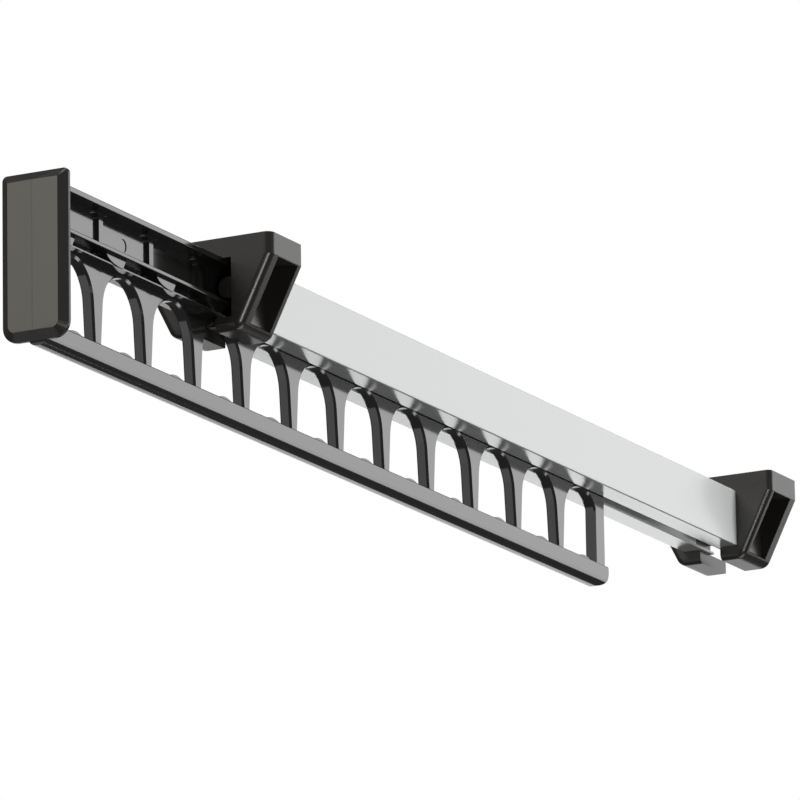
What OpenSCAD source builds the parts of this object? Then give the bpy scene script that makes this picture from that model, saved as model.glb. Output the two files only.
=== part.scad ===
// Pull-out clothes rail for a wardrobe, hung under a shelf.
// Two moulded brackets carry a slotted aluminium channel. An arched, ribbed
// carrier rail runs in the channel and draws out at the front by its end plate.
// X is across, -Y is the way the rail pulls out, +Z is up. The origin is on the
// underside of the shelf, in the middle of the four shelf screws.

/* [Overall] */
// Length over the two brackets
fixed_length = 450; // [350:1:600]
// How far the end plate stands in front of the front bracket as drawn
drawn_out = 122.2; // [0:0.1:180]
// How far the rail's rear end stops short of the rear face when pushed home
rear_inset = 4.3; // [4:0.1:12]

/* [Brackets] */
// Width of a bracket at the shelf
bracket_w = 56; // [50:0.5:70]
// Depth of a bracket along the rail
bracket_d = 24; // [22:0.5:40]
// Height of a bracket
bracket_h = 35.2; // [34.6:0.1:40]
// Height of the upright part of a bracket's side
bracket_side_h = 8.3; // [6:0.1:12]
// Width over the two feet where their rounded corners end
bracket_foot_w = 32.4; // [30:0.1:36]
// Radius of the feet's lower corners, seen from the front
foot_corner_r = 4.5; // [3.2:0.1:6]
// Radius of the edges round the front bracket's outer face
front_outer_edge_r = 3; // [1:0.1:3.1]
// Radius of the edges round the front bracket's inner face
front_inner_edge_r = 0.8; // [0.2:0.1:1.5]
// Radius of the edges round the rear bracket's outer face
rear_outer_edge_r = 0.8; // [0.2:0.1:1.5]
// Radius of the edges round the rear bracket's inner face
rear_inner_edge_r = 2.3; // [1:0.1:2.8]
// Width of the opening that the rail passes through
cutout_w = 22.6; // [20:0.1:24]
// Top of the opening, below the shelf
cutout_top = 7.7; // [7.6:0.05:7.75]
// Bottom of the opening, below the shelf
cutout_bottom = 30.2; // [30:0.1:31]
// Width of the slot between the two feet
foot_slot_w = 9; // [8.2:0.1:12]
// Depth of the socket that the channel's end sits in
socket_d = 10; // [6:0.5:14]
// Radius of the half-round guide bosses beside the opening
boss_r = 4.05; // [3:0.05:4.5]
// Height of the guide bosses' middle, below the shelf
boss_drop = 18.8; // [16:0.1:19]
// Set-back of the guide bosses from the outer face
boss_setback = 1; // [0.2:0.1:3]

/* [Bracket pockets and screw holes] */
// Thickness of the slab over a pocket, which the shelf screw clamps
pocket_slab = 8.6; // [6:0.1:10]
// Wall between a front pocket and the outer face
front_outer_wall = 6.1; // [3.2:0.1:7]
// Wall between a front pocket and the inner face
front_inner_wall = 2.8; // [2:0.1:4]
// Wall between a rear pocket and the outer face
rear_outer_wall = 5; // [3.2:0.1:7]
// Wall between a rear pocket and the inner face
rear_inner_wall = 3.7; // [3:0.1:5]
// Wall between a pocket and the channel's socket
pocket_side_wall = 2.2; // [1.2:0.1:3]
// Floor under a pocket
pocket_floor = 2.6; // [1.5:0.1:4]
// Radius of a pocket's lower inner corner
pocket_corner_r = 1.4; // [0.5:0.1:2]
// Distance between the two shelf screws of a bracket
shelf_hole_pitch = 40; // [36:0.5:44]
// Diameter of a shelf screw hole
shelf_hole_d = 4.5; // [3.5:0.1:5]
// Distance from the outer face to the shelf screws
shelf_hole_inset = 13; // [9:0.5:16]

/* [Channel] */
// Width of the aluminium channel
channel_w = 24; // [23:0.1:26]
// Top of the channel, below the shelf
channel_top = 6.7; // [6:0.1:6.75]
// Bottom of the channel, below the shelf
channel_bottom = 30; // [29.8:0.1:31]
// Wall of the channel
channel_wall = 0.9; // [0.7:0.05:0.95]
// Width of the slot in the channel's underside
channel_slot_w = 6; // [5.4:0.1:8]
// Outside corner radius of the channel
channel_corner_r = 0.6; // [0.3:0.1:0.8]
// Distance between the two channel screws of a bracket
channel_screw_pitch = 14; // [10:0.5:16]
// Diameter of a channel screw's shank
channel_screw_d = 2.9; // [2:0.1:3.5]
// Diameter of a channel screw's head
channel_screw_head_d = 5.6; // [5:0.1:6]
// Depth of a channel screw's countersunk head
channel_screw_head_h = 1.5; // [1:0.1:2]

/* [Carrier rail] */
// Half the thickness of the rail's web and arches
web_half = 2.36; // [2:0.02:2.6]
// Width of the two flanges
flange_w = 17.4; // [14:0.1:18]
// Clearance over the top flange, inside the channel
flange_gap = 0.2; // [0.15:0.01:0.4]
// Thickness of the top flange
top_flange_t = 2.2; // [1.6:0.1:2.6]
// Underside of the lower flange, below the shelf
low_flange_bottom = 25.1; // [24.6:0.1:25.4]
// Thickness of the lower flange
low_flange_t = 1.6; // [1.2:0.1:2]
// Radius of the two flanges' edges
flange_edge_r = 0.4; // [0.2:0.1:0.5]
// Clearance between the rail's keel and the channel's lips
keel_gap = 0.3; // [0.2:0.05:0.5]
// Width of the thin runner along the keel's foot, just over the lips
runner_w = 13; // [8:0.1:14]
// Thickness of the runner
runner_t = 0.5; // [0.4:0.1:1]
// Width over the upright cheeks that join the runner to the lower flange
cheek_w = 14; // [12:0.1:15]
// Length of a cheek along the lower flange
cheek_l = 14.4; // [12:0.1:18]
// How far a cheek starts in front of its post's middle
cheek_lead = 2; // [0:0.1:4]
// Distance from the post's middle to the cheek's lowest point
cheek_toe = 10; // [6:0.1:11]
// Height of the ribs, and of the bays' walls, over the web
rib_h = 1.3; // [0.6:0.1:2.4]
// Thickness of a rib
rib_t = 2.9; // [1.6:0.1:4]
// Radius of the bays' corners between the ribs
bay_r = 3; // [1:0.1:4]
// Half the distance between the two guide bosses
boss_gap_half = 5.4; // [4.8:0.1:6]
// Diameter of the stop screw's hole through the web
web_hole_d = 4.2; // [4.1:0.1:5]
// Height of the stop screw and of the dimples, below the shelf
web_hole_drop = 17.5; // [16:0.1:19]
// Diameter of the round dimples in the web over the second arch
dimple_d = 5; // [3:0.1:7]
// Depth of the dimples
dimple_h = 0.3; // [0.2:0.1:1.2]

/* [Arches and bar] */
// Distance from one arch to the next
arch_pitch = 36.8; // [35:0.1:42]
// Distance from the rail's front end to the first arch's middle
first_arch = 20.9; // [20:0.1:22]
// Radius of an arch's crown
crown_r = 14.5; // [12:0.1:15]
// Top of an arch, below the shelf
arch_top = 29.8; // [29.6:0.1:31]
// Width of a post between two arches, where it meets the bar
post_foot_w = 5.2; // [4.8:0.1:7.8]
// How far the last post reaches forward into its arch
last_post_reach = 3; // [1:0.1:3.5]
// Chamfer round the edges of an arch
arch_edge = 0.8; // [0.2:0.1:0.9]
// Top of the bar, below the shelf
bar_top = 58.7; // [55:0.1:62]
// Bottom of the bar, below the shelf
bar_bottom = 67.2; // [65:0.1:72]
// Width of the bar
bar_w = 8; // [6:0.1:10]
// Radius of the bar's lower edges
bar_low_r = 3.2; // [1:0.1:3.6]
// Radius of the bar's upper edges
bar_edge_r = 0.6; // [0.2:0.1:1]
// Radius of the bar's lower rear corner
bar_end_r = 6.4; // [3:0.1:6.8]
// Radius of the bar's upper rear corner
bar_end_top_r = 1.3; // [0.5:0.1:1.6]
// Height of the swell on the bar in each arch
swell_h = 1; // [0.5:0.1:2]
// Length of the swell on the bar in each arch
swell_l = 10; // [6:0.5:14]
// Width of the swell on the bar
swell_w = 6.6; // [5:0.1:7]

/* [End plate] */
// Width of the end plate
plate_w = 27.1; // [25:0.1:32]
// Top of the end plate, below the shelf
plate_top = 3.9; // [2:0.1:6]
// Bottom of the end plate, below the shelf
plate_bottom = 65.8; // [64:0.1:75]
// Thickness of the end plate at its flat part
plate_t = 3.5; // [3:0.1:6]
// Thickness of the plate's rim, behind the bevel
plate_rim = 1.3; // [0.6:0.1:1.6]
// Width of the bevel
plate_bevel = 3.3; // [2:0.1:4]
// Radius of the plate's upper corners
plate_top_r = 2; // [1:0.1:4]
// Radius of the plate's lower corners
plate_low_r = 6; // [4.1:0.1:8]
// Height of the ridge down the middle of the plate
plate_ridge = 0.4; // [0.2:0.1:2]
// Diameter of the pegs that hold the plate to the rail
peg_d = 3; // [2:0.1:3.4]
// Length of the pegs
peg_l = 8; // [4:0.5:12]
// Height of the upper peg, below the shelf
peg_high = 17.5; // [14:0.1:20]
// Height of the lower peg, below the shelf
peg_low = 62.4; // [61:0.1:64]

/* [Rollers] */
// Clearance over and under a roller in the channel
roller_gap = 0.15; // [0.1:0.05:0.4]
// Room between an axle clip and the channel's side
clip_room = 0.7; // [0.3:0.1:1]
// Diameter of an axle
axle_d = 4; // [3:0.1:5]
// Distance from the rail's rear end to the rear axle
rear_axle_inset = 22; // [18:0.5:24]
// Distance between the two axles
axle_pitch = 23; // [22:0.1:26]
// Diameter of the bosses that carry the axles
axle_boss_d = 8; // [6:0.1:10]
// Clearance between a roller and the pieces beside it
side_gap = 0.1; // [0.05:0.05:0.3]
// Radial clearance between a roller and its axle
axle_fit = 0.05; // [0.02:0.01:0.08]
// Thickness of an axle clip
clip_t = 0.5; // [0.3:0.1:0.6]
// Diameter of an axle clip
clip_d = 7.2; // [6:0.1:9]

/* [Stops] */
// Length of a stop block along the rail
stop_l = 12; // [8:0.5:16]
// Width over the two stop blocks
stop_w = 16; // [14:0.1:17]
// Thickness of the rubber pad on a stop block
pad_t = 1.2; // [0.8:0.1:2]
// Diameter of the stop screw
stop_screw_d = 3.9; // [3:0.1:4]
// Diameter of the stop screw's head
stop_head_d = 6.8; // [6:0.1:8]
// Height of the stop screw's head
stop_head_h = 2.2; // [1.5:0.1:3]
// Width of the stop nut across its flats
nut_flats = 7; // [6:0.1:8]
// Height of the stop nut
nut_h = 2.4; // [2:0.1:3]

/* [Hidden] */
$fn = 64;
// Facets of the rounded skins
skin_fn = 32;
// Overrun of every cut past the face it leaves
over = 1;
// Clearance of pieces that are pushed or screwed together
seat = 0.05;
// Clearance of the channel in its sockets
socket_fit = 0.1;
// Clearance of a screw's head and of a nut in its recess
head_fit = 0.15;
// Clearance between the rollers and the flanges in front of them
roller_room = 1.5;
// Clearance left when a stop has met its face
stop_rest = 0.2;
// Depth of a screw's cross recess, as a share of its head's height
recess_share = 0.5;
// Length and width of a cross recess, as shares of the head's diameter
recess_l_share = 0.6;
recess_w_share = 0.16;
// Depth of the dished face of a roller, as a share of its width
dish_share = 0.28;
// Outer and inner radius of the dish, as shares of the roller's radius
dish_out_share = 0.8;
dish_in_share = 0.38;
// Chamfer of a roller's tread and of a pin's end, as shares of their radius
tread_share = 0.05;
pin_end_share = 0.2;
// Number of holes through a roller's web
roller_holes = 5;
// Radius of a roller's holes, as a share of the roller's radius
roller_hole_share = 0.1;
// Depth of the step in a stop block's flanks, as shares of its size
block_relief_share = 0.25;

half_length = fixed_length / 2;
front_face = -half_length;
rear_face = half_length;
plate_back = front_face - drawn_out;
arch_foot_w = arch_pitch - post_foot_w;
rail_l = fixed_length - rear_inset;
rail_front = plate_back + seat;
rail_rear = plate_back + rail_l;
arch_count = floor((rail_l - first_arch - arch_foot_w / 2) / arch_pitch) + 1;
inner_half = channel_w / 2 - channel_wall;
inner_top = channel_top + channel_wall;
inner_bottom = channel_bottom - channel_wall;
flange_top = inner_top + flange_gap;
flange_under = flange_top + top_flange_t;
low_flange_top = low_flange_bottom - low_flange_t;
keel_bottom = inner_bottom - keel_gap;
rib_half = web_half + rib_h;
roller_r = (inner_bottom - inner_top) / 2 - roller_gap;
roller_drop = (inner_bottom + inner_top) / 2;
rear_axle_y = rail_rear - rear_axle_inset;
front_axle_y = rear_axle_y - axle_pitch;
flange_rear = front_axle_y - roller_r - roller_room;
roller_in = boss_gap_half;
roller_out = inner_half - clip_room - clip_t - side_gap;
roller_w = roller_out - roller_in;
clip_in = roller_out + side_gap;
axle_half = clip_in + clip_t + seat;
stop_arch = arch_count - 3;
stop_mid = rail_front + first_arch + stop_arch * arch_pitch;
stop_top = flange_under + seat;
stop_bottom = low_flange_top - seat;
pad_front = stop_mid - stop_l / 2 - pad_t;
boss_rear = front_face + bracket_d - socket_d;
pull_out = pad_front - boss_rear - stop_rest;
push_in = drawn_out - stop_rest;
crown_drop = arch_top + crown_r;
leg_drop = bar_top - crown_drop;
leg_tilt = acos(crown_r / norm([arch_foot_w / 2, leg_drop])) - atan2(leg_drop, arch_foot_w / 2);
leg_l = (leg_drop + crown_r * sin(leg_tilt)) / cos(leg_tilt);

echo(pull_out = pull_out, push_in = push_in, arches = arch_count, roller_r = roller_r);

function arch_y(k) = rail_front + first_arch + k * arch_pitch;

// An outline drawn across the rail, run from y0 to y1
module along_y(y0, y1) {
  translate([0, y1, 0]) rotate([90, 0, 0]) linear_extrude(y1 - y0) children();
}

// An outline drawn along the rail, run from x0 to x1
module along_x(x0, x1) {
  translate([x0, 0, 0]) rotate([90, 0, 90]) linear_extrude(x1 - x0) children();
}

// A round bar or bore across the rail, at a given place along and below
module cross_rod(x0, x1, y, drop, r) {
  translate([x0, y, -drop]) rotate([0, 90, 0]) cylinder(h = x1 - x0, r = r);
}

module box(x0, x1, y0, y1, z0, z1) {
  translate([x0, y0, z0]) cube([x1 - x0, y1 - y0, z1 - z0]);
}

// A rectangle given by its sides, with all four corners rounded
module round_rect(x0, x1, y0, y1, r) {
  translate([x0 + r, y0]) square([x1 - x0 - 2 * r, y1 - y0]);
  translate([x0, y0 + r]) square([x1 - x0, y1 - y0 - 2 * r]);
  for (x = [x0 + r, x1 - r], y = [y0 + r, y1 - r]) translate([x, y]) circle(r);
}

module both_sides() {
  children();
  mirror([1, 0, 0]) children();
}

module both_ends() {
  children();
  mirror([0, 1, 0]) children();
}

// The bracket's outer skin: upright sides, sloping flanks and rounded feet, with
// its own edge radius round the outer face and round the inner face
module bracket_skin(outer_r, inner_r) {
  top_x = bracket_w / 2;
  foot_x = bracket_foot_w / 2 - foot_corner_r;
  foot_z = foot_corner_r - bracket_h;
  hull() for (s = [-1, 1], f = [[outer_r, outer_r], [inner_r, bracket_d - inner_r]]) {
    translate([s * (top_x - f[0]), f[1], -bracket_side_h])
      cylinder(h = bracket_side_h, r = f[0], $fn = skin_fn);
    translate([s * foot_x, f[1], foot_z]) rotate([-90, 0, 0]) rotate_extrude($fn = skin_fn)
      intersection() {
        translate([foot_corner_r - f[0], 0]) circle(f[0], $fn = skin_fn);
        translate([0, -f[0]]) square([foot_corner_r, 2 * f[0]]);
      }
  }
}

// The opening for the rail, with the two guide bosses left standing in it
module bracket_opening() {
  half = cutout_w / 2;
  boss_x = boss_gap_half + boss_r;
  difference() {
    box(-half, half, -over, bracket_d - socket_d + over, -cutout_bottom, -cutout_top);
    both_sides() along_y(boss_setback, bracket_d - socket_d) {
      translate([boss_x, -boss_drop]) circle(boss_r);
      translate([boss_x, -boss_drop - boss_r]) square([half + over - boss_x, 2 * boss_r]);
    }
  }
}

// The pocket in a bracket's flank, under the shelf screw
module bracket_pocket(outer_wall, inner_wall) {
  x0 = channel_w / 2 + socket_fit + pocket_side_wall;
  x1 = bracket_w / 2 + over;
  z0 = pocket_floor - bracket_h;
  r = pocket_corner_r;
  along_y(outer_wall, bracket_d - inner_wall) {
    translate([x0, z0 + r]) square([x1 - x0, -pocket_slab - z0 - r]);
    translate([x0 + r, z0]) square([x1 - x0 - r, r + over]);
    translate([x0 + r, z0 + r]) circle(r);
  }
}

// One bracket, with its outer face at y = 0 and the channel entering at the rear.
// The edge radii and the pockets' walls are given outer one first.
module bracket(edges, walls) {
  sock = channel_w / 2 + socket_fit;
  screw_y = bracket_d - socket_d / 2;
  hole_r = channel_screw_d / 2 + head_fit;
  head_r = channel_screw_head_d / 2 + head_fit;
  difference() {
    bracket_skin(edges[0], edges[1]);
    bracket_opening();
    box(-sock, sock, bracket_d - socket_d, bracket_d + over,
      -channel_bottom - socket_fit, socket_fit - channel_top);
    box(-foot_slot_w / 2, foot_slot_w / 2, -over, bracket_d + over,
      -bracket_h - over, -channel_bottom + over);
    both_sides() {
      bracket_pocket(walls[0], walls[1]);
      translate([shelf_hole_pitch / 2, shelf_hole_inset, -pocket_slab - over])
        cylinder(h = pocket_slab + 2 * over, d = shelf_hole_d);
      translate([channel_screw_pitch / 2, screw_y, -channel_top - over])
        cylinder(h = channel_top + 2 * over, r = hole_r);
      translate([channel_screw_pitch / 2, screw_y, -channel_screw_head_h])
        cylinder(h = channel_screw_head_h, r1 = hole_r, r2 = head_r);
      translate([channel_screw_pitch / 2, screw_y, 0]) cylinder(h = over, r = head_r);
    }
  }
}

// Flat-headed screws through the bracket's slab into the channel's top wall
module channel_screws() {
  screw_y = bracket_d - socket_d / 2;
  r = channel_screw_d / 2;
  head_r = channel_screw_head_d / 2;
  cut_l = channel_screw_head_d * recess_l_share;
  cut_w = channel_screw_head_d * recess_w_share;
  cut_h = channel_screw_head_h * recess_share;
  both_sides() translate([channel_screw_pitch / 2, screw_y, 0]) difference() {
    union() {
      translate([0, 0, -inner_top]) cylinder(h = inner_top, r = r);
      translate([0, 0, -channel_screw_head_h])
        cylinder(h = channel_screw_head_h, r1 = r, r2 = head_r);
    }
    for (a = [0, 90]) rotate([0, 0, a])
      box(-cut_l / 2, cut_l / 2, -cut_w / 2, cut_w / 2, -cut_h, over);
  }
}

module front_bracket() {
  color("#35322f") translate([0, front_face, 0])
    bracket([front_outer_edge_r, front_inner_edge_r], [front_outer_wall, front_inner_wall]);
}

module rear_bracket() {
  color("#35322f") translate([0, rear_face, 0]) rotate([0, 0, 180])
    bracket([rear_outer_edge_r, rear_inner_edge_r], [rear_outer_wall, rear_inner_wall]);
}

module front_channel_screws() {
  color("#b8b9ba") translate([0, front_face, 0]) channel_screws();
}

module rear_channel_screws() {
  color("#b8b9ba") translate([0, rear_face, 0]) rotate([0, 0, 180]) channel_screws();
}

// The extruded channel, open along the middle of its underside
module cover_channel() {
  y0 = front_face + bracket_d - socket_d + socket_fit;
  y1 = rear_face - bracket_d + socket_d - socket_fit;
  screw_in = bracket_d - socket_d / 2;
  half = channel_w / 2;
  color("#dfe1df") difference() {
    along_y(y0, y1) difference() {
      round_rect(-half, half, -channel_bottom, -channel_top, channel_corner_r);
      translate([-inner_half, -inner_bottom]) square([2 * inner_half, inner_bottom - inner_top]);
      translate([-channel_slot_w / 2, -channel_bottom - over])
        square([channel_slot_w, channel_wall + 2 * over]);
    }
    both_sides() for (y = [front_face + screw_in, rear_face - screw_in])
      translate([channel_screw_pitch / 2, y, -inner_top - over])
        cylinder(h = channel_wall + 2 * over, r = channel_screw_d / 2 + seat);
  }
}

// Half of an arch's section from a given radius outwards, with its chamfered edges
function arch_section(from) = let(side = web_half + over, in = web_half - arch_edge)
  [[from, -side], [crown_r + side - in, -side], [crown_r, -in], [crown_r, in],
    [crown_r + side - in, side], [from, side]];

// The cutter for one arch: a round crown on two straight legs that run on from it
module arch_cut() {
  side = web_half + over;
  core = crown_r / 2;
  translate([0, 0, -crown_drop]) {
    rotate([90, 0, 90]) rotate([0, 0, leg_tilt]) rotate_extrude(angle = 180 - 2 * leg_tilt)
      polygon(arch_section(0));
    both_ends() rotate([leg_tilt, 0, 0]) rotate([180, 0, 90]) linear_extrude(leg_l + over)
      polygon(arch_section(core - over));
    box(-side, side, -core - over, core + over, -leg_drop - over, core);
  }
}

// The two flanges on their web, in cross-section
module flange_section() {
  for (f = [[flange_under, flange_top], [low_flange_bottom, low_flange_top]])
    round_rect(-flange_w / 2, flange_w / 2, -f[0], -f[1], flange_edge_r);
  translate([-web_half, -low_flange_bottom])
    square([2 * web_half, low_flange_bottom - flange_top]);
}

// The ribs that tie the flanges together over every post, with rounded bays
module rib_bays() {
  bay = arch_pitch - rib_t;
  difference() {
    box(-rib_half, rib_half, rail_front, flange_rear, -low_flange_top, -flange_under);
    for (s = [-1, 1]) along_x(s > 0 ? web_half : -rib_half - over,
        s > 0 ? rib_half + over : -web_half)
      for (k = [0 : arch_count - 1])
        round_rect(arch_y(k) - bay / 2, arch_y(k) + bay / 2, -low_flange_top, -flange_under,
          bay_r);
  }
}

// The keel's upright cheeks, one from each post, with a swept lower edge
module cheeks() {
  depth = keel_bottom - low_flange_bottom;
  root = low_flange_t / 2;
  sweep = cheek_toe + cheek_lead;
  tail = cheek_l - cheek_lead;
  intersection() {
    along_x(-cheek_w / 2, cheek_w / 2) for (k = [0 : arch_count - 1])
      translate([arch_y(k) - arch_pitch / 2, -low_flange_bottom]) polygon(concat(
        [[tail, 0], [tail, root], [-cheek_lead, root]],
        [for (a = [0 : 15 : 90]) [cheek_toe - sweep * cos(a), -depth * sin(a)]]));
    box(-cheek_w, cheek_w, rail_front, flange_rear, -bar_bottom, 0);
  }
}

// The bar along the bottom, with its rounded lower edges and its rounded rear end
module bar() {
  half = bar_w / 2;
  low_x = half - bar_low_r;
  r = bar_end_r;
  top_r = bar_end_top_r;
  intersection() {
    along_y(rail_front, rail_rear) {
      translate([-half, bar_low_r - bar_bottom])
        square([bar_w, bar_bottom - bar_low_r - bar_top - bar_edge_r]);
      translate([bar_edge_r - half, -bar_top - bar_edge_r])
        square([bar_w - 2 * bar_edge_r, bar_edge_r]);
      for (x = [bar_edge_r - half, half - bar_edge_r]) translate([x, -bar_top - bar_edge_r])
        circle(bar_edge_r);
      translate([-low_x, -bar_bottom]) square([2 * low_x, bar_low_r]);
      for (x = [-low_x, low_x]) translate([x, bar_low_r - bar_bottom]) circle(bar_low_r);
    }
    along_x(-bar_w, bar_w) {
      translate([rail_front, -bar_bottom])
        square([rail_rear - r - rail_front, bar_bottom - bar_top]);
      translate([rail_rear - r, -bar_bottom + r])
        square([r - top_r, bar_bottom - bar_top - r]);
      translate([rail_rear - top_r, -bar_bottom + r])
        square([top_r, bar_bottom - bar_top - r - top_r]);
      translate([rail_rear - r, -bar_bottom + r]) circle(r);
      translate([rail_rear - top_r, -bar_top - top_r]) circle(top_r);
    }
  }
}

// The swell on the bar that keeps hangers in the middle of each arch
module swells() {
  half = swell_l / 2;
  r = (half * half + swell_h * swell_h) / (2 * swell_h);
  intersection() {
    for (k = [0 : arch_count - 1])
      cross_rod(-swell_w / 2, swell_w / 2, arch_y(k), bar_top + r - swell_h, r);
    box(-swell_w / 2, swell_w / 2, rail_front, rail_rear, -bar_top - swell_h,
      -bar_top + swell_h);
  }
}

// The whole rail: flanged beam, ribs, keel, arches and bar in one moulding
module carrier_rail() {
  color("#2b2a29") difference() {
    union() {
      along_y(rail_front, flange_rear) flange_section();
      rib_bays();
      box(-runner_w / 2, runner_w / 2, rail_front, flange_rear, -keel_bottom,
        runner_t - keel_bottom);
      cheeks();
      difference() {
        box(-web_half, web_half, rail_front, rail_rear, -bar_top - seat, -low_flange_bottom);
        for (k = [0 : arch_count - 1]) translate([0, arch_y(k), 0]) arch_cut();
      }
      box(-web_half, web_half, flange_rear, rail_rear, -low_flange_bottom, -flange_top);
      box(-web_half, web_half, arch_y(arch_count - 1) + arch_foot_w / 2 - last_post_reach,
        rail_rear, -bar_top - seat, -low_flange_bottom);
      for (y = [front_axle_y, rear_axle_y])
        cross_rod(side_gap - roller_in, roller_in - side_gap, y, roller_drop, axle_boss_d / 2);
      bar();
      swells();
    }
    for (y = [front_axle_y, rear_axle_y])
      cross_rod(-roller_in - over, roller_in + over, y, roller_drop, axle_d / 2 + seat);
    cross_rod(-web_half - over, web_half + over, stop_mid, web_hole_drop, web_hole_d / 2);
    both_sides()
      cross_rod(web_half - dimple_h, web_half + over, arch_y(1), web_hole_drop, dimple_d / 2);
    for (drop = [peg_high, peg_low]) translate([0, rail_front - over, -drop])
      rotate([-90, 0, 0]) cylinder(h = peg_l + 2 * over, r = peg_d / 2 + seat);
  }
}

// The plate's outline, drawn in by a given distance
module plate_outline(inset) {
  half = plate_w / 2 - inset;
  top_r = max(plate_top_r - inset, seat);
  low_r = plate_low_r - inset;
  for (s = [-1, 1]) {
    translate([s * (half - top_r), -plate_top - inset - top_r]) circle(top_r, $fn = skin_fn);
    translate([s * (half - low_r), -plate_bottom + inset + low_r]) circle(low_r, $fn = skin_fn);
  }
}

// The end plate: rim, bevel, a low ridge down its front and two pegs behind
module end_plate() {
  flat_front = plate_back - plate_t;
  color("#3f3b38") {
    hull() {
      along_y(plate_back - plate_rim, plate_back) plate_outline(0);
      along_y(flat_front, plate_back - plate_rim) plate_outline(plate_bevel);
      box(-seat / 2, seat / 2, flat_front - plate_ridge, flat_front,
        plate_bevel - plate_bottom, -plate_top - plate_bevel);
    }
    for (drop = [peg_high, peg_low]) translate([0, plate_back - seat, -drop])
      rotate([-90, 0, 0]) cylinder(h = peg_l + seat, r = peg_d / 2);
  }
}

// A stop block, bolted against the web between the flanges, on the +X side
module stop_block() {
  x0 = web_half + seat;
  x1 = stop_w / 2;
  relief_l = stop_l * block_relief_share;
  relief_x = (x1 - x0) * block_relief_share;
  difference() {
    box(x0, x1, stop_mid - stop_l / 2, stop_mid + stop_l / 2, -stop_bottom, -stop_top);
    box(x1 - relief_x, x1 + over, stop_mid + stop_l / 2 - relief_l, stop_mid + stop_l,
      -stop_bottom - over, over - stop_top);
    cross_rod(x0 - over, x1 + over, stop_mid, web_hole_drop, stop_screw_d / 2 + seat);
  }
}

module stop_block_near() {
  head_x = stop_w / 2 - stop_head_h - head_fit;
  color("#2b2a29") difference() {
    stop_block();
    cross_rod(head_x, stop_w, stop_mid, web_hole_drop, stop_head_d / 2 + head_fit);
  }
}

module stop_block_far() {
  nut_x = stop_w / 2 - nut_h - head_fit;
  color("#2b2a29") difference() {
    mirror([1, 0, 0]) stop_block();
    translate([-stop_w, stop_mid, -web_hole_drop]) rotate([0, 90, 0])
      cylinder(h = stop_w - nut_x, r = nut_flats / sqrt(3) + head_fit, $fn = 6);
  }
}

// The pan-headed screw that holds both stop blocks
module stop_screw() {
  head_x = stop_w / 2 - stop_head_h;
  cut_l = stop_head_d * recess_l_share;
  cut_w = stop_head_d * recess_w_share;
  cut_x = stop_w / 2 - stop_head_h * recess_share;
  color("#b8b9ba") difference() {
    union() {
      cross_rod(-stop_w / 2 + head_fit, head_x + seat, stop_mid, web_hole_drop, stop_screw_d / 2);
      cross_rod(head_x, stop_w / 2 - seat, stop_mid, web_hole_drop, stop_head_d / 2);
    }
    for (a = [0, 90]) translate([0, stop_mid, -web_hole_drop]) rotate([a, 0, 0])
      box(cut_x, stop_w, -cut_l / 2, cut_l / 2, -cut_w / 2, cut_w / 2);
  }
}

module stop_nut() {
  x0 = -stop_w / 2 + head_fit;
  color("#b8b9ba") difference() {
    translate([x0, stop_mid, -web_hole_drop]) rotate([0, 90, 0])
      cylinder(h = nut_h - head_fit, r = nut_flats / sqrt(3), $fn = 6);
    cross_rod(x0 - over, x0 + nut_h + over, stop_mid, web_hole_drop, stop_screw_d / 2 + seat);
  }
}

// Rubber pads that meet the guide bosses when the rail is fully out
module stop_pads() {
  y1 = stop_mid - stop_l / 2;
  color("#1d1d1d") both_sides()
    box(web_half + seat, stop_w / 2, y1 - pad_t, y1, -stop_bottom, -stop_top);
}

// A steel pin through the web, with softened ends
module axle(y) {
  r = axle_d / 2;
  c = r * pin_end_share;
  color("#b8b9ba") translate([0, y, -roller_drop]) rotate([0, 90, 0]) {
    translate([0, 0, c - axle_half]) cylinder(h = 2 * (axle_half - c), r = r);
    translate([0, 0, -axle_half]) cylinder(h = c, r1 = r - c, r2 = r);
    translate([0, 0, axle_half - c]) cylinder(h = c, r1 = r, r2 = r - c);
  }
}

module front_axle() { axle(front_axle_y); }

module rear_axle() { axle(rear_axle_y); }

// Spring clips that keep the rollers on the axles
module axle_clips() {
  color("#b8b9ba") both_sides() for (y = [front_axle_y, rear_axle_y]) difference() {
    cross_rod(clip_in, clip_in + clip_t, y, roller_drop, clip_d / 2);
    cross_rod(clip_in - over, clip_in + clip_t + over, y, roller_drop, axle_d / 2 + seat);
    box(clip_in - over, clip_in + clip_t + over, y - axle_d / 4, y + axle_d / 4,
      -roller_drop - clip_d, -roller_drop);
  }
}

// A moulded roller on the +X side, dished on its outer face
module roller(y) {
  r = roller_r;
  c = r * tread_share;
  w = roller_w;
  dish = w * dish_share;
  hole_ring = r * (dish_out_share + dish_in_share) / 2;
  color("#e8e6df") translate([roller_in, y, -roller_drop]) rotate([0, 90, 0]) difference() {
    rotate_extrude() polygon([[0, 0], [r - c, 0], [r, c], [r, w - c], [r - c, w],
      [r * dish_out_share, w], [r * dish_out_share, w - dish], [r * dish_in_share, w - dish],
      [r * dish_in_share, w], [0, w]]);
    translate([0, 0, -over]) cylinder(h = w + 2 * over, r = axle_d / 2 + axle_fit);
    for (k = [1 : roller_holes]) rotate([0, 0, 360 * k / roller_holes])
      translate([hole_ring, 0, -over]) cylinder(h = w + 2 * over, r = r * roller_hole_share);
  }
}

module front_roller_near() { roller(front_axle_y); }

module front_roller_far() { mirror([1, 0, 0]) roller(front_axle_y); }

module rear_roller_near() { roller(rear_axle_y); }

module rear_roller_far() { mirror([1, 0, 0]) roller(rear_axle_y); }

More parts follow.
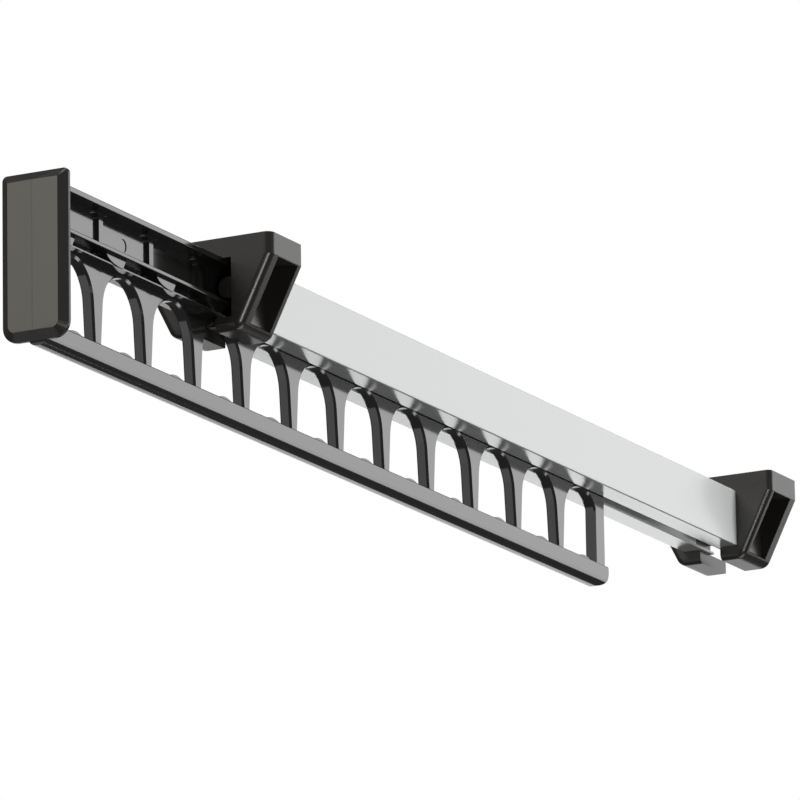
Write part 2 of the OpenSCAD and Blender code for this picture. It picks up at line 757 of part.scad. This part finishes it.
front_bracket();
rear_bracket();
cover_channel();
front_channel_screws();
rear_channel_screws();
carrier_rail();
end_plate();
stop_block_near();
stop_block_far();
stop_screw();
stop_nut();
stop_pads();
front_axle();
rear_axle();
axle_clips();
front_roller_near();
front_roller_far();
rear_roller_near();
rear_roller_far();
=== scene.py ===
import math

import bpy
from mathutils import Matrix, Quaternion, Vector

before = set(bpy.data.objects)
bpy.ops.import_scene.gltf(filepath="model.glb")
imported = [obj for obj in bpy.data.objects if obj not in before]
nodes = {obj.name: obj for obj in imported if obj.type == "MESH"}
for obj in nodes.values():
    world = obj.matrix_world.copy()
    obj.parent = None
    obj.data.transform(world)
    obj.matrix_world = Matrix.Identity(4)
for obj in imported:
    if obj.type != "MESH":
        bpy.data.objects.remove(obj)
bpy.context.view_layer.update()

# The photographer's place
# A long lens, low down at the front and to the right of the rail, looks up
# under the shelf. It is nearly level and a little rolled.
eye = Vector((1.494689, -2.933830, -0.852157))
aim = Vector((0.000793, -0.072494, -0.027204))
roll_deg = -0.884
sensor_mm = 36
lens_mm = 392.448
near_clip = 0.05
far_clip = 50
camera_data = bpy.data.cameras.new("photo_camera")
camera_data.sensor_width = sensor_mm
camera_data.lens = lens_mm
camera_data.clip_start = near_clip
camera_data.clip_end = far_clip
camera = bpy.data.objects.new("photo_camera", camera_data)
bpy.context.collection.objects.link(camera)
camera.location = eye
camera.rotation_mode = "QUATERNION"
look = (aim - eye).normalized()
roll = Quaternion((0, 0, 1), math.radians(roll_deg))
camera.rotation_quaternion = look.to_track_quat("-Z", "Y") @ roll
bpy.context.scene.camera = camera
bpy.context.scene.view_settings.view_transform = "Standard"

# The studio
# A dim grey room, with a plain white ground that only the camera sees. Broad
# panels give the reflections on the rail's sides and undersides and on the
# brackets' edges. Lamps at the front, at the side and below light it.
room_grey = (0.5, 0.5, 0.51, 1)
room_level = 0.14
ground_white = (1, 1, 1, 1)
# Each row: name, bearing from the rear towards the near side and height in
# degrees, distance, width and height in metres, brightness.
studio_panels = (
    ("panel_back_right", 30, 7.5, 2.5, 1.8, 1.65, 1.72),
    ("panel_back_left", -32, -8, 2.5, 1.5, 0.9, 1.05),
    ("panel_front_left", 208, 2, 2.6, 1.2, 2.0, 0.36),
    ("panel_front_low", 212, -36, 2.6, 1.5, 1.6, 0.4),
    ("lamp_key", 200, 42, 2.5, 1.3, 1.1, 9.0),
    ("panel_right", 137, -17, 2.5, 1.0, 0.6, 8),
    ("lamp_side", 75, 42, 2.5, 0.6, 0.6, 29.5),
    ("panel_below", 30, -62, 1.6, 1.2, 1.0, 2.0),
)
world = bpy.data.worlds.new("studio")
bpy.context.scene.world = world
world.use_nodes = True
world_nodes = world.node_tree.nodes
world_links = world.node_tree.links
world_nodes.clear()
room = world_nodes.new("ShaderNodeBackground")
room.inputs["Color"].default_value = room_grey
room.inputs["Strength"].default_value = room_level
ground = world_nodes.new("ShaderNodeBackground")
ground.inputs["Color"].default_value = ground_white
ray = world_nodes.new("ShaderNodeLightPath")
choose = world_nodes.new("ShaderNodeMixShader")
world_out = world_nodes.new("ShaderNodeOutputWorld")
world_links.new(ray.outputs["Is Camera Ray"], choose.inputs["Fac"])
world_links.new(room.outputs[0], choose.inputs[1])
world_links.new(ground.outputs[0], choose.inputs[2])
world_links.new(choose.outputs[0], world_out.inputs["Surface"])


def soft_panel(name, bearing, height, distance, wide, tall, level):
    """A soft panel at that bearing from the rail, with that brightness."""
    turn = math.radians(bearing)
    lift = math.radians(height)
    way = Vector((math.sin(turn) * math.cos(lift),
                  math.cos(turn) * math.cos(lift),
                  math.sin(lift)))
    data = bpy.data.lights.new(name, "AREA")
    data.shape = "RECTANGLE"
    data.size = wide
    data.size_y = tall
    data.energy = level * math.pi * wide * tall
    lamp = bpy.data.objects.new(name, data)
    bpy.context.collection.objects.link(lamp)
    lamp.location = way * distance
    lamp.rotation_mode = "QUATERNION"
    lamp.rotation_quaternion = (-way).to_track_quat("-Z", "Y")


for row in studio_panels:
    soft_panel(*row)

# Brackets
# Two mouldings in satin black plastic, screwed up into the shelf through their
# flank pockets. The tool's spark-eroded faces leave a fine even grain on them.
grain_detail = 4
dent_depth = 0.0001
sharp_deg = 35
edge_steps = 3


def finish(name, colour, roughness, metallic=0.0, ior=1.5):
    """A new material: itself, its nodes, its links and its main shader."""
    material = bpy.data.materials.new(name)
    material.use_nodes = True
    n = material.node_tree.nodes
    shader = n["Principled BSDF"]
    shader.inputs["Base Color"].default_value = (*colour, 1)
    shader.inputs["Roughness"].default_value = roughness
    shader.inputs["Metallic"].default_value = metallic
    shader.inputs["IOR"].default_value = ior
    return material, n, material.node_tree.links, shader


def grain(n, k, scale, stretch=(1, 1, 1)):
    """Fine noise that stays with the piece."""
    where = n.new("ShaderNodeTexCoord")
    place = n.new("ShaderNodeMapping")
    place.inputs["Scale"].default_value = stretch
    noise = n.new("ShaderNodeTexNoise")
    noise.inputs["Scale"].default_value = scale
    noise.inputs["Detail"].default_value = grain_detail
    k.new(where.outputs["Object"], place.inputs["Vector"])
    k.new(place.outputs["Vector"], noise.inputs["Vector"])
    return noise.outputs["Fac"]


def dents(n, k, shader, pattern, strength):
    """The pattern dents the surface."""
    dent = n.new("ShaderNodeBump")
    dent.inputs["Strength"].default_value = strength
    dent.inputs["Distance"].default_value = dent_depth
    k.new(pattern, dent.inputs["Height"])
    k.new(dent.outputs["Normal"], shader.inputs["Normal"])


def sheen(n, k, shader, pattern, low, high):
    """The pattern moves the roughness between two values."""
    rough = n.new("ShaderNodeMapRange")
    rough.inputs["To Min"].default_value = low
    rough.inputs["To Max"].default_value = high
    k.new(pattern, rough.inputs["Value"])
    k.new(rough.outputs["Result"], shader.inputs["Roughness"])


def dress(node, material, edge=0.0):
    """Gives a CAD piece its finish and softens its sharp edges."""
    piece = nodes[node]
    piece.data.materials.clear()
    piece.data.materials.append(material)
    for face in piece.data.polygons:
        face.material_index = 0
    if edge:
        soft = piece.modifiers.new("soft_edges", "BEVEL")
        soft.width = edge
        soft.segments = edge_steps
        soft.limit_method = "ANGLE"
        soft.angle_limit = math.radians(sharp_deg)
        soft.harden_normals = True
        soft.use_clamp_overlap = True


bracket_colour = (0.02, 0.0178, 0.0145)
bracket_rough = 0.3
bracket_ior = 1.6
bracket_grain = 1800
bracket_dents = 0.16
bracket_sheen = (0.24, 0.34)
bracket_edge = 0.0003
bracket_black, n, k, shader = finish("bracket_satin_black", bracket_colour,
                                     bracket_rough, ior=bracket_ior)
pattern = grain(n, k, bracket_grain)
dents(n, k, shader, pattern, bracket_dents)
sheen(n, k, shader, pattern, *bracket_sheen)
for node in ("front_bracket", "rear_bracket"):
    dress(node, bracket_black, bracket_edge)

# Channel
# An aluminium extrusion with a slot along its underside, satin anodised. The
# die leaves very fine lines along its length, and the underside is shinier.
channel_colour = (0.79, 0.81, 0.8)
channel_rough = 0.3
channel_ior = 1.25
die_lines = 900
die_stretch = (1, 0.01, 1)
die_dents = 0.05
channel_sheen = (0.2, 0.25)
side_metal = 0.05
under_metal = 0.85
under_from = -0.3
under_to = -0.9
channel_edge = 0.0001
anodised, n, k, shader = finish("anodised_aluminium", channel_colour,
                                channel_rough, ior=channel_ior)
pattern = grain(n, k, die_lines, die_stretch)
dents(n, k, shader, pattern, die_dents)
sheen(n, k, shader, pattern, *channel_sheen)
coords = n.new("ShaderNodeTexCoord")
split = n.new("ShaderNodeSeparateXYZ")
under = n.new("ShaderNodeMapRange")
under.inputs["From Min"].default_value = under_from
under.inputs["From Max"].default_value = under_to
under.inputs["To Min"].default_value = side_metal
under.inputs["To Max"].default_value = under_metal
k.new(coords.outputs["Normal"], split.inputs["Vector"])
k.new(split.outputs["Z"], under.inputs["Value"])
k.new(under.outputs["Result"], shader.inputs["Metallic"])
dress("cover_channel", anodised, channel_edge)

# Channel screws
# Flat-headed steel screws, zinc-plated, two at each end of the channel. They go
# down through the bracket's top into it.
zinc_colour = (0.62, 0.62, 0.63)
zinc_rough = 0.3
zinc_grain = 2500
zinc_dents = 0.05
zinc_sheen = (0.22, 0.4)
zinc, n, k, shader = finish("zinc_plate", zinc_colour, zinc_rough, metallic=1.0)
pattern = grain(n, k, zinc_grain)
dents(n, k, shader, pattern, zinc_dents)
sheen(n, k, shader, pattern, *zinc_sheen)
for node in ("front_channel_screws", "rear_channel_screws"):
    dress(node, zinc)

# Carrier rail
# One polished black moulding: a flanged, ribbed beam over a row of arches and
# the bar with round lower edges that the hangers' hooks rest on.
rail_colour = (0.012, 0.012, 0.011)
rail_rough = 0.1
rail_ior = 2.1
rail_grain = 300
rail_sheen = (0.09, 0.14)
rail_edge = 0.0003
rail_black, n, k, shader = finish("rail_gloss_black", rail_colour, rail_rough,
                                  ior=rail_ior)
sheen(n, k, shader, grain(n, k, rail_grain), *rail_sheen)
dress("carrier_rail", rail_black, rail_edge)

# Stops
# Two moulded blocks bolted through the rail's web, with rubber pads in front.
# They are inside the channel, and the pads meet the guide bosses at full reach.
block_edge = 0.0002
for node in ("stop_block_near", "stop_block_far"):
    dress(node, rail_black, block_edge)
for node in ("stop_screw", "stop_nut"):
    dress(node, zinc)
rubber_colour = (0.02, 0.02, 0.02)
rubber_rough = 0.7
rubber_grain = 1500
rubber_dents = 0.2
rubber_sheen = (0.6, 0.8)
rubber, n, k, shader = finish("pad_rubber", rubber_colour, rubber_rough)
pattern = grain(n, k, rubber_grain)
dents(n, k, shader, pattern, rubber_dents)
sheen(n, k, shader, pattern, *rubber_sheen)
dress("stop_pads", rubber)

# End plate
# The moulded plate that the hand pulls. Its flat front is finely textured and
# satin grey, with a low ridge down it. The bevels round it are smooth, with
# painted shade making them near black. A thin line of painted shade runs down
# the ridge.
plate_front = (0.128, 0.12, 0.103)
# Painted shade: the bevels are the same plastic, darkened by which way they
# face.
bevel_painted_shade = (0.03, 0.0285, 0.026)
plate_rough = 0.42
plate_grain = 1800
plate_dents = 0.12
plate_sheen = (0.24, 0.42)
front_from = 0.93
front_to = 0.985
crease_half = 0.0003
crease_painted_shade = 0.6
plate_edge = 0.0003
plate_grey, n, k, shader = finish("plate_satin_grey", plate_front, plate_rough)
dents(n, k, shader, grain(n, k, plate_grain), plate_dents)
coords = n.new("ShaderNodeTexCoord")
facing = n.new("ShaderNodeVectorMath")
facing.operation = "DOT_PRODUCT"
facing.inputs[1].default_value = (0, -1, 0)
front = n.new("ShaderNodeMapRange")
front.inputs["From Min"].default_value = front_from
front.inputs["From Max"].default_value = front_to
across = n.new("ShaderNodeSeparateXYZ")
off = n.new("ShaderNodeMath")
off.operation = "ABSOLUTE"
# Painted shade: a thin darker line down the middle of the ridge.
crease = n.new("ShaderNodeMapRange")
crease.inputs["From Max"].default_value = crease_half
crease.inputs["To Min"].default_value = crease_painted_shade
share = n.new("ShaderNodeMath")
share.operation = "MULTIPLY"
# Painted shade: faces turned from the front, and the line down the ridge, mix
# towards the darker bevel colour.
tone = n.new("ShaderNodeMix")
tone.data_type = "RGBA"
tone.inputs["A"].default_value = (*bevel_painted_shade, 1)
tone.inputs["B"].default_value = (*plate_front, 1)
k.new(coords.outputs["Normal"], facing.inputs[0])
k.new(facing.outputs["Value"], front.inputs["Value"])
k.new(coords.outputs["Object"], across.inputs["Vector"])
k.new(across.outputs["X"], off.inputs[0])
k.new(off.outputs[0], crease.inputs["Value"])
k.new(front.outputs["Result"], share.inputs[0])
k.new(crease.outputs["Result"], share.inputs[1])
k.new(share.outputs[0], tone.inputs["Factor"])
k.new(tone.outputs["Result"], shader.inputs["Base Color"])
sheen(n, k, shader, front.outputs["Result"], *plate_sheen)
dress("end_plate", plate_grey, plate_edge)

# Rollers
# Natural acetal rollers on zinc-plated steel pins, each held by a spring clip.
# They run inside the channel on its lips.
acetal_colour = (0.8, 0.79, 0.75)
acetal_rough = 0.35
acetal_grain = 900
acetal_dents = 0.05
acetal_sheen = (0.3, 0.42)
roller_edge = 0.0002
acetal, n, k, shader = finish("acetal_white", acetal_colour, acetal_rough)
pattern = grain(n, k, acetal_grain)
dents(n, k, shader, pattern, acetal_dents)
sheen(n, k, shader, pattern, *acetal_sheen)
for node in ("front_roller_near", "front_roller_far",
             "rear_roller_near", "rear_roller_far"):
    dress(node, acetal, roller_edge)
for node in ("front_axle", "rear_axle", "axle_clips"):
    dress(node, zinc)
